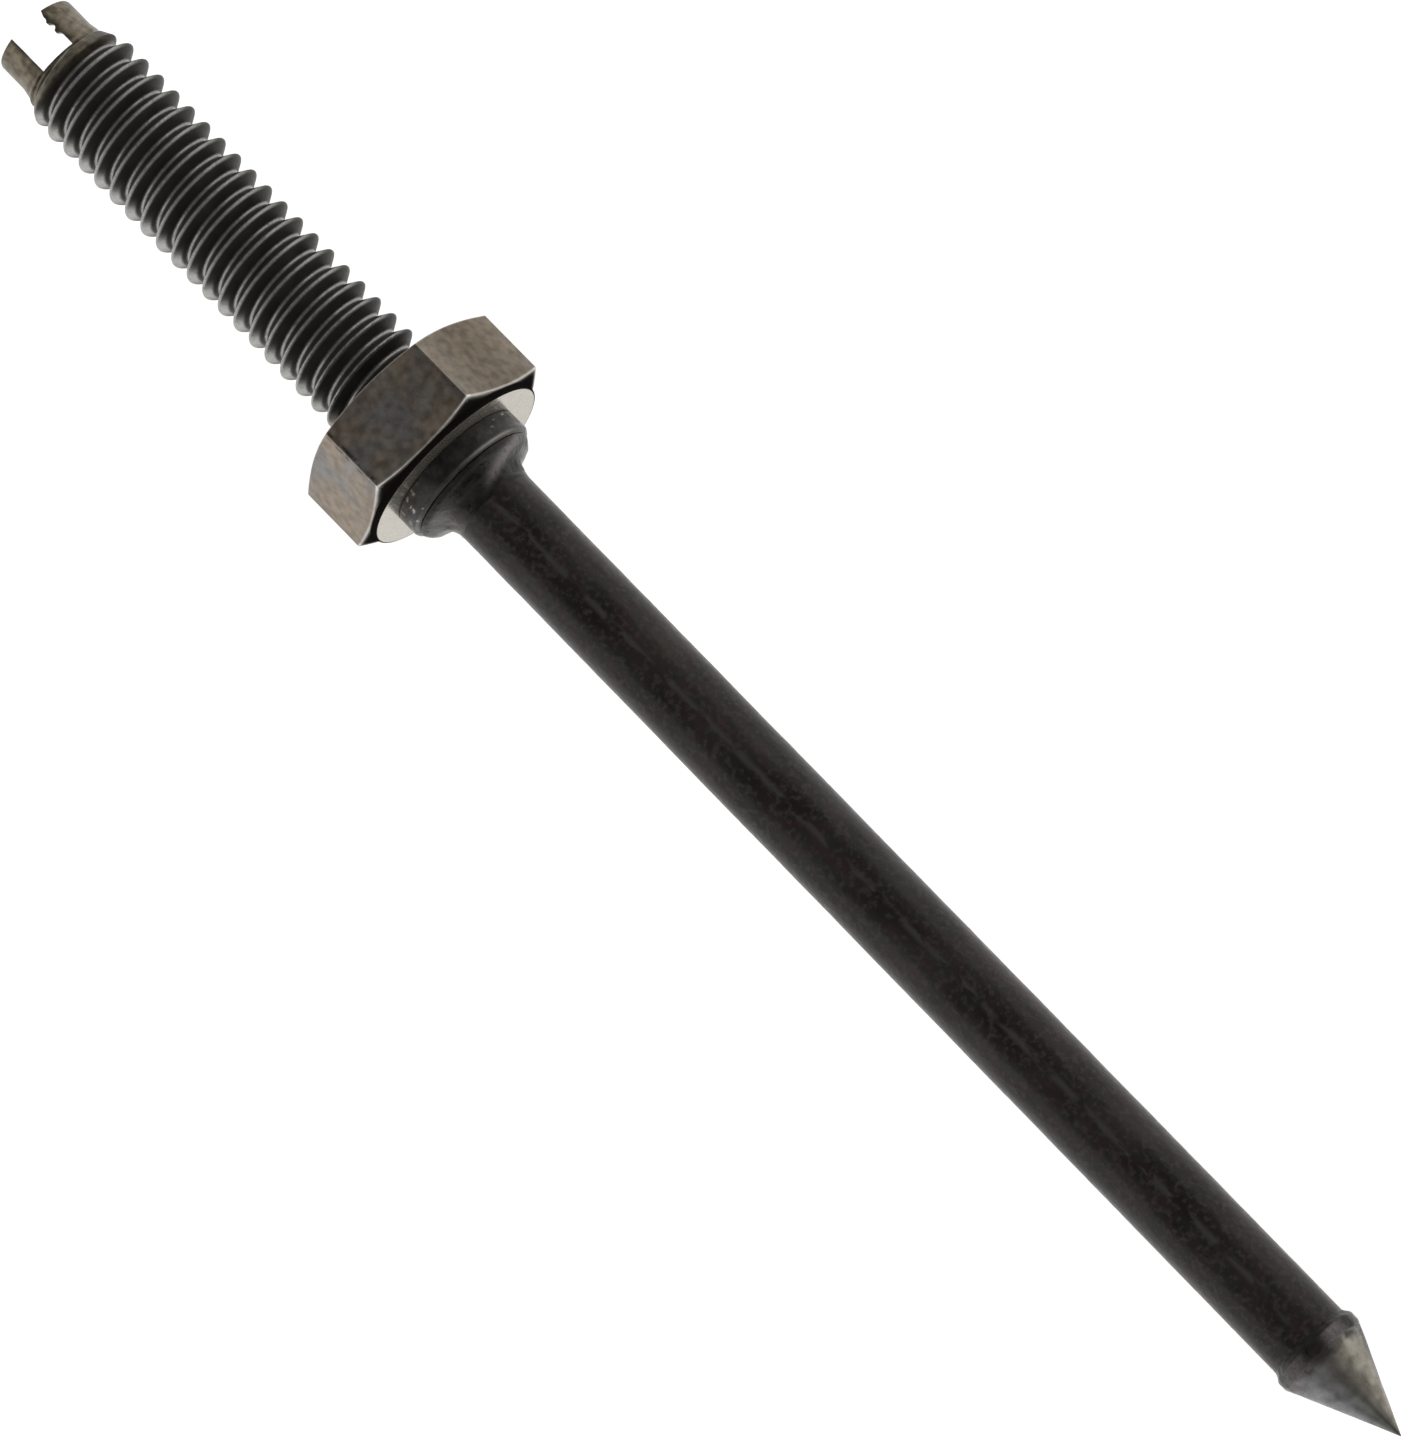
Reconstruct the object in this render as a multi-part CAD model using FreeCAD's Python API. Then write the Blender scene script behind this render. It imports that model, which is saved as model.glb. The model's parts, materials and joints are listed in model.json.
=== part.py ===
"""Solid screw-in ice spike: a slotted, threaded stud with a hex nut, welded through a collar to a
round shank that ends in a welded-on conical point.

Frame, in millimetres: the axis of the spike is X, with the point towards +X and the slotted end
towards -X. The origin is on the axis, in the shoulder face of the collar where the nut seats.
Two flats of the nut face +Z and -Z.
"""

import FreeCAD, Part

import math
import os

from FreeCAD import Vector

# Thread and stud
THREAD_MAJOR_RADIUS = 4.86
THREAD_PITCH = 1.807
THREAD_DEPTH = 1.09
THREAD_FLANK_ANGLE = 30.0
THREAD_ROOT_FLAT = 0.30
THREAD_START = -43.38
THREAD_CREST_PHASE = -42.82
THREAD_CREST_TURN = -3.85
RELIEF_RADIUS = 3.68
RELIEF_LENGTH = 1.6

# Slotted dog end
DOG_END = -49.03
DOG_RADIUS = 3.66
DOG_EDGE = 0.18
DOG_LENGTH = 2.61
LEAD_IN_START = -45.41
LEAD_IN_RADIUS = 3.84
SLOT_WIDTH = 3.16
SLOT_DEPTH = 3.88
SLOT_TURN = -3.85

# Hex nut
NUT_ACROSS_FLATS = 17.0
NUT_HEIGHT = 7.41
NUT_BORE_CLEARANCE = 0.05
NUT_COUNTERSINK = 0.75
NUT_TOP_CIRCLE = 7.90
NUT_TOP_CORNER_DROP = 0.60
WASHER_FACE_RADIUS = 8.38
WASHER_FACE_HEIGHT = 0.51
WASHER_FACE_EDGE = 0.08
NUT_BASE_CORNER_DROP = 0.99

# Collar and its weld
COLLAR_RADIUS = 5.97
COLLAR_LENGTH = 2.05
COLLAR_EDGE = 0.35
COLLAR_BREAK = 0.1
WELD_TOP_RADIUS = 5.61
WELD_SHOULDER = (0.60, 5.35)
WELD_FACE_TOP = (0.90, 4.75)
WELD_FACE_FOOT = (1.15, 4.15)
WELD_WAIST = (1.65, 3.68)
WELD_LENGTH = 2.6

# Shank and point
SHANK_RADIUS = 3.456
SPIGOT_RADIUS = 2.5
SPIGOT_LENGTH = 12.0
SPIGOT_EDGE = 0.4
SOCKET_DRILL_POINT = 1.5
BUTT_JOINT = 95.85
BEAD_START = 94.91
BEAD_RISE = (95.05, 3.71)
BEAD_CREST_START = 95.46
BEAD_CREST_END = 96.30
BEAD_CREST_RADIUS = 3.86
BEAD_FALL = (96.48, 3.80)
BEAD_END = 96.61
BEAD_END_RADIUS = 3.69
POINT_BASE_RADIUS = 3.66
POINT_VERTEX = 104.92
POINT_TIP_RADIUS = 0.08

ORIGIN = Vector(0, 0, 0)
AXIS = Vector(1, 0, 0)
ROOT_RADIUS = THREAD_MAJOR_RADIUS - THREAD_DEPTH


def at(x, radius):
    """A point of a lathe profile: x along the axis, radius away from it."""
    return Vector(x, 0, radius)


def straight(points):
    """Line edges through a list of profile points."""
    return [Part.LineSegment(a, b).toShape() for a, b in zip(points, points[1:])]


def bend(start, middle, end):
    """An arc edge of a profile through three points."""
    return Part.Arc(start, middle, end).toShape()


def lathe(edges):
    """Turn a closed profile, drawn in the XZ plane, about the axis of the spike."""
    wire = Part.Wire(Part.__sortEdges__(edges))
    return Part.Face(wire).revolve(ORIGIN, AXIS, 360).Solids[0]


def turned(points):
    """Turn a profile of straight lines, closed back to its first point."""
    return lathe(straight(points + [points[0]]))


def thread_groove():
    """The V groove that the thread is cut with: a right-hand sweep, longer than the thread."""
    slope = math.tan(math.radians(THREAD_FLANK_ANGLE))
    reach = 0.08
    mouth = THREAD_ROOT_FLAT / 2 + (THREAD_DEPTH + reach) * slope
    outside = THREAD_MAJOR_RADIUS + reach
    section = Part.makePolygon([
        Vector(ROOT_RADIUS, 0, -THREAD_ROOT_FLAT / 2),
        Vector(outside, 0, -mouth),
        Vector(outside, 0, mouth),
        Vector(ROOT_RADIUS, 0, THREAD_ROOT_FLAT / 2),
        Vector(ROOT_RADIUS, 0, -THREAD_ROOT_FLAT / 2),
    ])
    lead = 3
    turns = math.ceil((-THREAD_START - RELIEF_LENGTH) / THREAD_PITCH) + lead
    spine = Part.makeLongHelix(THREAD_PITCH, THREAD_PITCH * turns, THREAD_MAJOR_RADIUS, 0, False)
    sweep = Part.BRepOffsetAPI.MakePipeShell(Part.Wire(spine.Edges))
    sweep.setFrenetMode(True)
    sweep.setTransitionMode(1)
    sweep.add(section)
    sweep.build()
    sweep.makeSolid()
    groove = sweep.shape()
    # The sweep runs along Z from a groove on its own X axis, which this turn carries to -Z.
    groove.rotate(ORIGIN, Vector(0, 1, 0), 90)
    turn_to_crest = THREAD_CREST_TURN + 90
    crest_from_start = THREAD_PITCH * (0.5 + turn_to_crest / 360)
    groove.translate(AXIS * (THREAD_CREST_PHASE - crest_from_start - lead * THREAD_PITCH))
    return groove


def threaded_stud():
    """Stud: slotted dog end, lead-in cone, thread, relief and a socket for the shank's spigot."""
    crest_drop = THREAD_MAJOR_RADIUS - RELIEF_RADIUS
    blank = turned([
        at(DOG_END, 0),
        at(DOG_END, DOG_RADIUS - DOG_EDGE),
        at(DOG_END + DOG_EDGE, DOG_RADIUS),
        at(DOG_END + DOG_LENGTH, DOG_RADIUS),
        at(LEAD_IN_START, LEAD_IN_RADIUS),
        at(THREAD_START, THREAD_MAJOR_RADIUS),
        at(-RELIEF_LENGTH - crest_drop, THREAD_MAJOR_RADIUS),
        at(-RELIEF_LENGTH, RELIEF_RADIUS),
        at(0, RELIEF_RADIUS),
        at(0, SPIGOT_RADIUS),
        at(-SPIGOT_LENGTH, SPIGOT_RADIUS),
        at(-SPIGOT_LENGTH - SOCKET_DRILL_POINT, 0),
    ])
    body = blank.cut(thread_groove())
    slot = Part.makeBox(
        SLOT_DEPTH + 1, SLOT_WIDTH, 4 * DOG_RADIUS,
        Vector(DOG_END - 1, -SLOT_WIDTH / 2, -2 * DOG_RADIUS),
    )
    slot.rotate(ORIGIN, AXIS, SLOT_TURN)
    return body.cut(slot).Solids[0]


def hex_nut():
    """Nut: hexagon with both ends coned, a raised washer face on the collar side, plain bore."""
    corner = NUT_ACROSS_FLATS / math.sqrt(3)
    ring = [
        Vector(0, corner * math.cos(math.radians(a)), corner * math.sin(math.radians(a)))
        for a in range(0, 361, 60)
    ]
    prism = Part.Face(Part.makePolygon(ring)).extrude(AXIS * -NUT_HEIGHT)
    bore = THREAD_MAJOR_RADIUS + NUT_BORE_CLEARANCE
    envelope = turned([
        at(-NUT_COUNTERSINK, bore),
        at(0, bore + NUT_COUNTERSINK),
        at(0, WASHER_FACE_RADIUS - WASHER_FACE_EDGE),
        at(-WASHER_FACE_EDGE, WASHER_FACE_RADIUS),
        at(-WASHER_FACE_HEIGHT, WASHER_FACE_RADIUS),
        at(-NUT_BASE_CORNER_DROP, corner),
        at(NUT_TOP_CORNER_DROP - NUT_HEIGHT, corner),
        at(-NUT_HEIGHT, NUT_TOP_CIRCLE),
        at(-NUT_HEIGHT, bore + NUT_COUNTERSINK),
        at(NUT_COUNTERSINK - NUT_HEIGHT, bore),
    ])
    return prism.common(envelope).Solids[0]


def stop_collar():
    """Collar: a plain ring round the top of the shank, its shank-side rim broken by a chamfer."""
    return turned([
        at(0, SHANK_RADIUS),
        at(0, COLLAR_RADIUS - COLLAR_BREAK),
        at(COLLAR_BREAK, COLLAR_RADIUS),
        at(COLLAR_LENGTH - COLLAR_EDGE, COLLAR_RADIUS),
        at(COLLAR_LENGTH, COLLAR_RADIUS - COLLAR_EDGE),
        at(COLLAR_LENGTH, SHANK_RADIUS),
    ])


def shank_weld():
    """Fillet weld: a ring with a rounded shoulder and a hollow toe, from the collar to the shank."""
    def bead(x, radius):
        return at(COLLAR_LENGTH + x, radius)

    top = bead(0, WELD_TOP_RADIUS)
    face_top = bead(*WELD_FACE_TOP)
    face_foot = bead(*WELD_FACE_FOOT)
    toe = bead(WELD_LENGTH, SHANK_RADIUS)
    shoulder = bend(top, bead(*WELD_SHOULDER), face_top)
    hollow = bend(face_foot, bead(*WELD_WAIST), toe)
    root = bead(0, SHANK_RADIUS)
    return lathe([shoulder, hollow] + straight([face_top, face_foot]) + straight([toe, root, top]))


def shank_rod():
    """Shank: round bar with a turned-down spigot that sits in the stud."""
    return turned([
        at(-SPIGOT_LENGTH, 0),
        at(-SPIGOT_LENGTH, SPIGOT_RADIUS - SPIGOT_EDGE),
        at(-SPIGOT_LENGTH + SPIGOT_EDGE, SPIGOT_RADIUS),
        at(0, SPIGOT_RADIUS),
        at(0, SHANK_RADIUS),
        at(BUTT_JOINT, SHANK_RADIUS),
        at(BUTT_JOINT, 0),
    ])


def tip_weld_bead():
    """Bead: the ring of weld metal round the butt joint of shank and point."""
    toe = at(BEAD_START, SHANK_RADIUS)
    crest_start = at(BEAD_CREST_START, BEAD_CREST_RADIUS)
    crest_end = at(BEAD_CREST_END, BEAD_CREST_RADIUS)
    end = at(BEAD_END, BEAD_END_RADIUS)
    rise = bend(toe, at(*BEAD_RISE), crest_start)
    fall = bend(crest_end, at(*BEAD_FALL), end)
    inner = at(BEAD_END, SHANK_RADIUS)
    return lathe([rise, fall] + straight([crest_start, crest_end]) + straight([end, inner, toe]))


def cone_point():
    """Point: a short stub under the bead, a step out to the cone, and a small ball nose."""
    half_angle = math.atan2(POINT_BASE_RADIUS, POINT_VERTEX - BEAD_END)
    nose_centre = POINT_VERTEX - POINT_TIP_RADIUS / math.sin(half_angle)

    def on_nose(angle):
        return at(
            nose_centre + POINT_TIP_RADIUS * math.sin(angle),
            POINT_TIP_RADIUS * math.cos(angle),
        )

    tip = at(nose_centre + POINT_TIP_RADIUS, 0)
    tangent = on_nose(half_angle)
    outline = straight([
        tip,
        at(BUTT_JOINT, 0),
        at(BUTT_JOINT, SHANK_RADIUS),
        at(BEAD_END, SHANK_RADIUS),
        at(BEAD_END, POINT_BASE_RADIUS),
        tangent,
    ])
    nose = bend(tangent, on_nose((half_angle + math.pi / 2) / 2), tip)
    return lathe(outline + [nose])


NODES = [
    threaded_stud,
    hex_nut,
    stop_collar,
    shank_weld,
    shank_rod,
    tip_weld_bead,
    cone_point,
]

os.makedirs("parts", exist_ok=True)
for make in NODES:
    shape = make()
    name = make.__name__
    shape.exportStep("parts/" + name + ".step")
    print(f"{name}: {shape.ShapeType}, valid {shape.isValid()}, {shape.Volume:.1f} mm3")
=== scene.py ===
"""Looks of a screw-in ice spike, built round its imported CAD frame. Lengths are metres.

The spike's axis is X, with the point towards +X. Every solid is a surface round that axis, so each
one is made as rings of points: a profile of (x, radius) pairs and a rule for the radius at an angle.
"""

import json
import math

import bmesh
import bpy
import numpy as np
from mathutils import Matrix, Vector, noise


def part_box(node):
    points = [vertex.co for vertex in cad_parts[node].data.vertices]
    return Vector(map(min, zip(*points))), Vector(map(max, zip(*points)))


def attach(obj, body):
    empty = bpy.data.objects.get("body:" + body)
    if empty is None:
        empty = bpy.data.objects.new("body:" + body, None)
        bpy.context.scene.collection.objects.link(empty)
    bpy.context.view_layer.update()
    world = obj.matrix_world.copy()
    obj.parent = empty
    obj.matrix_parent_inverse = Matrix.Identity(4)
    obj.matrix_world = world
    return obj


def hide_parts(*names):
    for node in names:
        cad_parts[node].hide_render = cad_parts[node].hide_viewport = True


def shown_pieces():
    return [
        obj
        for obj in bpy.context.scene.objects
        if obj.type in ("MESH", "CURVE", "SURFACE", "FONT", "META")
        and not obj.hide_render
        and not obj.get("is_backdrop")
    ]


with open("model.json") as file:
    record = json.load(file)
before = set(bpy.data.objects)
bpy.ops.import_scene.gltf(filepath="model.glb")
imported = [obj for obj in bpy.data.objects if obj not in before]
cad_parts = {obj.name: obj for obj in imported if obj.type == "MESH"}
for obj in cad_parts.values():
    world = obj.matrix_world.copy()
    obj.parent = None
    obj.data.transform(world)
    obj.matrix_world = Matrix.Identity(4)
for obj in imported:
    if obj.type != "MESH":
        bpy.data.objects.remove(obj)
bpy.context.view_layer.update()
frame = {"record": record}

MM = 0.001
MOUNTS = {mount["name"]: mount for mount in frame["record"]["mounts"]}

# Thread: one crest passes CREST_X on the side that faces CREST_ANGLE, measured from +Y towards +Z
PITCH = 1.807 * MM
CREST_X = -42.82 * MM
CREST_ANGLE = math.radians(-3.85)
THREAD_RADIUS = MOUNTS["stud_thread"]["dims"]["r_mm"] * MM
THREAD_LENGTH = MOUNTS["stud_thread"]["dims"]["length_mm"] * MM
THREAD_DEPTH = 1.09 * MM
CREST_LAND = 0.02 * MM
CREST_ROUND = 0.06 * MM
FLANK_SLOPE = 1.50
FIT_CLEARANCE = 0.05 * MM
# Rounding where two surfaces of the stud or the nut meet
BLEND = 0.03 * MM

# Stud end
DOG_LENGTH = 2.61 * MM
DOG_RADIUS = 3.66 * MM
LEAD_IN_START = -45.41 * MM
LEAD_IN_RADIUS = 3.84 * MM
RELIEF_RADIUS = 3.68 * MM
RELIEF_LENGTH = 1.6 * MM
SPIGOT_RADIUS = 2.5 * MM
SPIGOT_LENGTH = 12.0 * MM
SOCKET_FACE_RADIUS = 3.1 * MM
SOCKET_MOUTH_RADIUS = 2.7 * MM
SOCKET_CHAMFER = 0.5 * MM
DRILL_TIP_LENGTH = 1.5 * MM
DRILL_TIP_RADIUS = 0.1 * MM
SLOT_WIDTH = 3.16 * MM
SLOT_DEPTH = MOUNTS["driver_slot"]["dims"]["length_mm"] * MM
SLOT_TURN = math.radians(-3.85)
SLOT_ROUGHNESS = 0.03 * MM
BURR_SIDE = 0.49 * SLOT_WIDTH
BURR_START = 2.7 * MM
# Burr teeth: distance from the stud's end, width and height
BURR_TEETH = [
    (0.65 * MM, 0.35 * MM, 0.18 * MM),
    (1.20 * MM, 0.24 * MM, 0.34 * MM),
    (2.15 * MM, 0.22 * MM, 0.34 * MM),
]

# Nut and collar
NUT_COUNTERSINK = 0.75 * MM
NUT_TOP_CIRCLE = 7.90 * MM
NUT_TOP_CORNER_DROP = 0.60 * MM
NUT_BASE_CORNER_DROP = 0.99 * MM
WASHER_RADIUS = 8.38 * MM
WASHER_HEIGHT = 0.51 * MM
WASHER_EDGE = 0.08 * MM
COLLAR_EDGE = 0.35 * MM

# Weld: distance from the collar and radius, at each bend of the fillet
WELD_SHOULDER = (0.48 * MM, 5.38 * MM)
WELD_SLOPE = (0.83 * MM, 4.60 * MM)
WELD_HOLLOW = (1.18 * MM, 3.93 * MM)
WELD_TOE = (1.65 * MM, 3.63 * MM)

# Bead: its rise is like the weld's bends, and its crown starts and ends that far from its two ends
BEAD_RISE = (0.30 * MM, 3.64 * MM)
BEAD_CROWN_START = 0.62 * MM
BEAD_CROWN_END = 0.31 * MM
BEAD_FOOT_RADIUS = 3.69 * MM

# Point, with the stub that the bead hides
POINT_BASE_RADIUS = 3.66 * MM
POINT_STUB_RADIUS = 3.4 * MM
POINT_STUB_GAP = 0.1 * MM
POINT_TIP_LENGTH = 0.13 * MM
POINT_TIP_RADIUS = 0.085 * MM

# Weld and bead sink into the bar by OVERLAP, and hidden end faces have one more ring inside
OVERLAP = 0.05 * MM
HIDDEN_FACE_RADIUS = 0.3 * MM

# Camera: the point it looks at, how far off it stands and how it is turned, and its lens in millimetres
AIM = Vector((0.02805, -0.00005, 0.0))
CAMERA_DISTANCE = 0.6799
CAMERA_LEAN = math.radians(12.81)
CAMERA_SIDE = math.radians(3.85)
CAMERA_ROLL = math.radians(45.75)
CAMERA_LENS = 221.85
# The side of the spike that faces the camera, in degrees from +Y towards +Z
FACING = 90 - math.degrees(CAMERA_SIDE)

# How far each seed moves the noise along x, y and z
SEED_STEPS = (17.3, 5.1, 9.7)


def soft_min(a, b, blend):
    """The smaller of two lengths, with the corner between them rounded off."""
    low = np.minimum(a, b)
    return low - blend * np.log(np.exp((low - a) / blend) + np.exp((low - b) / blend))


def smooth_step(value, start, end):
    """0 before start, 1 after end, and a smooth rise between."""
    t = np.clip((value - start) / (end - start), 0, 1)
    return t * t * (3 - 2 * t)


def wobble(points, size, seed, octaves=3):
    """Fractal noise of about -1 to 1 at each point, with features of the given size."""
    shift = Vector([seed * step for step in SEED_STEPS])
    return np.array([
        noise.fractal(Vector(p) / size + shift, 1.0, 2.0, octaves) for p in points
    ])


def softened(profile, radius, step):
    """A profile with its corners rounded and its straight runs cut into short steps."""
    most_of_side = 0.45
    arc_points = 5
    points = [np.array(p) for p in profile]
    path = [points[0]]
    for before, corner, after in zip(points, points[1:], points[2:]):
        back, ahead = before - corner, after - corner
        cut = min(radius, most_of_side * np.linalg.norm(back), most_of_side * np.linalg.norm(ahead))
        start = corner + back / np.linalg.norm(back) * cut
        end = corner + ahead / np.linalg.norm(ahead) * cut
        for t in np.linspace(0, 1, arc_points):
            path.append((1 - t) ** 2 * start + 2 * t * (1 - t) * corner + t ** 2 * end)
    path.append(points[-1])
    fine = [path[0]]
    for a, b in zip(path, path[1:]):
        count = max(1, math.ceil(np.linalg.norm(b - a) / step))
        fine += [a + (b - a) * k / count for k in range(1, count + 1)]
    return np.array(fine)


def ridge(distance, width):
    """1 where a distance is nought, and next to nothing from twice the width."""
    return np.exp(-((distance / width) ** 2))


def even_angles(count):
    """Angles round the axis, evenly spaced, from +Y towards +Z."""
    return np.arange(count) * 2 * math.pi / count


def ring_points(x, radius, angles):
    """Points of every ring: x and radius are one row a ring and one column an angle."""
    x = np.broadcast_to(x, radius.shape)
    return np.stack([x, radius * np.cos(angles), radius * np.sin(angles)], axis=-1)


def mesh_object(name, vertices, faces):
    """An object in the scene, made from its vertices and faces."""
    mesh = bpy.data.meshes.new(name)
    mesh.from_pydata(vertices.tolist(), [], faces)
    mesh.validate()
    piece = bpy.data.objects.new(name, mesh)
    bpy.context.scene.collection.objects.link(piece)
    return piece


def shade(piece, crease=40):
    """Smooth shading, with creases sharper than an angle left as edges."""
    piece.data.shade_smooth()
    piece.data.set_sharp_from_angle(angle=math.radians(crease))


def rings_object(name, points, looped):
    """A closed mesh from rings of points. A looped one is a tyre; any other has its ends on the axis."""
    rings, around = points.shape[:2]
    faces = []
    for i in range(rings if looped else rings - 1):
        a, b = i * around, (i + 1) % rings * around
        for j in range(around):
            k = (j + 1) % around
            faces.append((a + j, a + k, b + k, b + j))
    vertices = points.reshape(-1, 3)
    if not looped:
        first, last = len(vertices), len(vertices) + 1
        ends = [[points[0, 0, 0], 0, 0], [points[-1, 0, 0], 0, 0]]
        vertices = np.vstack([vertices, ends])
        top = (rings - 1) * around
        for j in range(around):
            k = (j + 1) % around
            faces.append((first, k, j))
            faces.append((last, top + j, top + k))
    return mesh_object(name, vertices, faces)


def turned(name, outline, around, looped):
    """A piece made by turning an outline of x and radius about the axis."""
    angles = even_angles(around)
    points = ring_points(outline[:, :1], np.tile(outline[:, 1:], around), angles)
    return rings_object(name, points[::-1] if looped else points, looped)


def patches(angle, places):
    """1 on some sides of a piece and 0 on others.

    A place is its angle past the side that faces the camera, its half width, both in degrees,
    and its strength.
    """
    total = np.zeros_like(angle)
    for place, width, strength in places:
        off = (np.degrees(angle) - FACING - place + 180) % 360 - 180
        total += strength * np.exp(-np.abs(off / width) ** 3)
    return total


def coordinates(piece):
    """The vertices of a mesh as rows of x, y, z."""
    flat = np.empty(len(piece.data.vertices) * 3)
    piece.data.vertices.foreach_get("co", flat)
    return flat.reshape(-1, 3)


def move_vertices(piece, points):
    """Puts the vertices of a mesh at rows of x, y, z."""
    piece.data.vertices.foreach_set("co", points.ravel())
    piece.data.update()


def paint(piece, name, values):
    """Stores one number a vertex for the piece's material to read."""
    layer = piece.data.attributes.new(name, "FLOAT", "POINT")
    layer.data.foreach_set("value", np.clip(values, 0, 1).astype(np.float32))


def swell(piece, amounts):
    """Moves each vertex away from the axis by its amount."""
    smallest = 1e-6
    points = coordinates(piece)
    radius = np.maximum(np.hypot(points[:, 1], points[:, 2]), smallest)
    points[:, 1:] *= (1 + amounts / radius)[:, None]
    move_vertices(piece, points)


def finish_piece(piece, node, body, material):
    """Hangs a piece on its body in place of its CAD node."""
    piece.data.materials.append(material)
    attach(piece, body)
    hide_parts(node)


class Shader:
    """A Principled material, put together node by node, with coordinates in millimetres."""

    def __init__(self, name, metallic=0.0, specular=0.5):
        self.material = bpy.data.materials.new(name)
        self.material.use_nodes = True
        self.tree = self.material.node_tree
        self.bsdf = self.tree.nodes["Principled BSDF"]
        self.bsdf.inputs["Metallic"].default_value = metallic
        self.bsdf.inputs["Specular IOR Level"].default_value = specular
        self.place = self.node("ShaderNodeTexCoord").outputs["Object"]

    def node(self, kind, **settings):
        made = self.tree.nodes.new(kind)
        for key, value in settings.items():
            setattr(made, key, value)
        return made

    def feed(self, socket, value):
        if isinstance(value, bpy.types.NodeSocket):
            self.tree.links.new(value, socket)
        else:
            socket.default_value = value

    def noise(self, size, stretch=(1, 1, 1), detail=4, distortion=0.0, shift=0.0):
        """Noise from 0 to 1 with features of a size in millimetres, longer where stretch is more."""
        mapping = self.node("ShaderNodeMapping")
        self.feed(mapping.inputs["Vector"], self.place)
        mapping.inputs["Location"].default_value = (shift, shift * 0.7, shift * 1.3)
        mapping.inputs["Scale"].default_value = [1 / (MM * size * s) for s in stretch]
        texture = self.node("ShaderNodeTexNoise")
        self.feed(texture.inputs["Vector"], mapping.outputs["Vector"])
        texture.inputs["Scale"].default_value = 1.0
        texture.inputs["Detail"].default_value = detail
        texture.inputs["Distortion"].default_value = distortion
        return texture.outputs["Fac"]

    def cells(self, size):
        """Distance to the nearest of scattered points, for pits and grains."""
        mapping = self.node("ShaderNodeMapping")
        self.feed(mapping.inputs["Vector"], self.place)
        mapping.inputs["Scale"].default_value = [1 / (MM * size)] * 3
        texture = self.node("ShaderNodeTexVoronoi")
        self.feed(texture.inputs["Vector"], mapping.outputs["Vector"])
        texture.inputs["Scale"].default_value = 1.0
        return texture.outputs["Distance"]

    def ramp(self, value, *stops):
        """Colours at places along 0 to 1, smooth between them."""
        made = self.node("ShaderNodeValToRGB")
        self.feed(made.inputs["Fac"], value)
        elements = made.color_ramp.elements
        while len(elements) < len(stops):
            elements.new(0.5)
        for element, (position, colour) in zip(elements, stops):
            element.position = position
            element.color = (*colour, 1)
        return made.outputs["Color"]

    def levels(self, value, start, end, low=0.0, high=1.0):
        """A number stretched so that start becomes low and end becomes high."""
        made = self.node("ShaderNodeMapRange", interpolation_type="SMOOTHSTEP")
        self.feed(made.inputs["Value"], value)
        made.inputs["From Min"].default_value = start
        made.inputs["From Max"].default_value = end
        made.inputs["To Min"].default_value = low
        made.inputs["To Max"].default_value = high
        return made.outputs["Result"]

    def maths(self, operation, a, b):
        made = self.node("ShaderNodeMath", operation=operation)
        self.feed(made.inputs[0], a)
        self.feed(made.inputs[1], b)
        return made.outputs["Value"]

    def mix(self, amount, a, b):
        """Colour a, changing to colour b as the amount goes from 0 to 1."""
        made = self.node("ShaderNodeMix", data_type="RGBA")
        self.feed(made.inputs["Factor"], amount)
        colour_inputs = [s for s in made.inputs if s.type == "RGBA"]
        for socket, colour in zip(colour_inputs, (a, b)):
            self.feed(socket, colour if isinstance(colour, bpy.types.NodeSocket) else (*colour, 1))
        return next(s for s in made.outputs if s.type == "RGBA")

    def scaled(self, value, strength):
        """A number times a strength."""
        return self.maths("MULTIPLY", value, strength)

    def painted(self, name):
        """A number stored on the mesh by paint()."""
        made = self.node("ShaderNodeAttribute", attribute_name=name)
        return made.outputs["Fac"]

    def finish(self, colour, roughness, *bumps):
        """Joins everything to the shader. A bump is a height from 0 to 1 and its depth in millimetres."""
        self.feed(self.bsdf.inputs["Base Color"], colour)
        self.feed(self.bsdf.inputs["Roughness"], roughness)
        normal = None
        for height, depth in bumps:
            bump = self.node("ShaderNodeBump")
            bump.inputs["Distance"].default_value = depth * MM
            self.feed(bump.inputs["Height"], height)
            if normal is not None:
                self.feed(bump.inputs["Normal"], normal)
            normal = bump.outputs["Normal"]
        if normal is not None:
            self.feed(self.bsdf.inputs["Normal"], normal)
        return self.material


def axial(points):
    """Place along the axis, distance from it and angle round it, for each point."""
    return points[:, 0], np.hypot(points[:, 1], points[:, 2]), np.arctan2(points[:, 2], points[:, 1])


def thread_radius(x, angle):
    """Radius of the thread: narrow crests, straight flanks and flat roots on a right-hand helix."""
    turns = (x - CREST_X) / PITCH - (angle - CREST_ANGLE) / (2 * math.pi)
    off_crest = np.abs(turns - np.round(turns)) * PITCH
    slope = FLANK_SLOPE * np.maximum(off_crest - CREST_LAND, 0)
    depth = np.hypot(slope, CREST_ROUND) - CREST_ROUND
    return THREAD_RADIUS - soft_min(depth, np.full_like(depth, THREAD_DEPTH), BLEND)


def camera_axes():
    """The image's axis along the spike, the one across it, and the way back to the camera."""
    side = Vector((0, math.sin(CAMERA_SIDE), math.cos(CAMERA_SIDE)))
    along = Vector((1, 0, 0)) * math.cos(CAMERA_LEAN) - side * math.sin(CAMERA_LEAN)
    across = Vector((0, math.cos(CAMERA_SIDE), -math.sin(CAMERA_SIDE)))
    back = Vector((1, 0, 0)) * math.sin(CAMERA_LEAN) + side * math.cos(CAMERA_LEAN)
    return along, across, back


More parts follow.
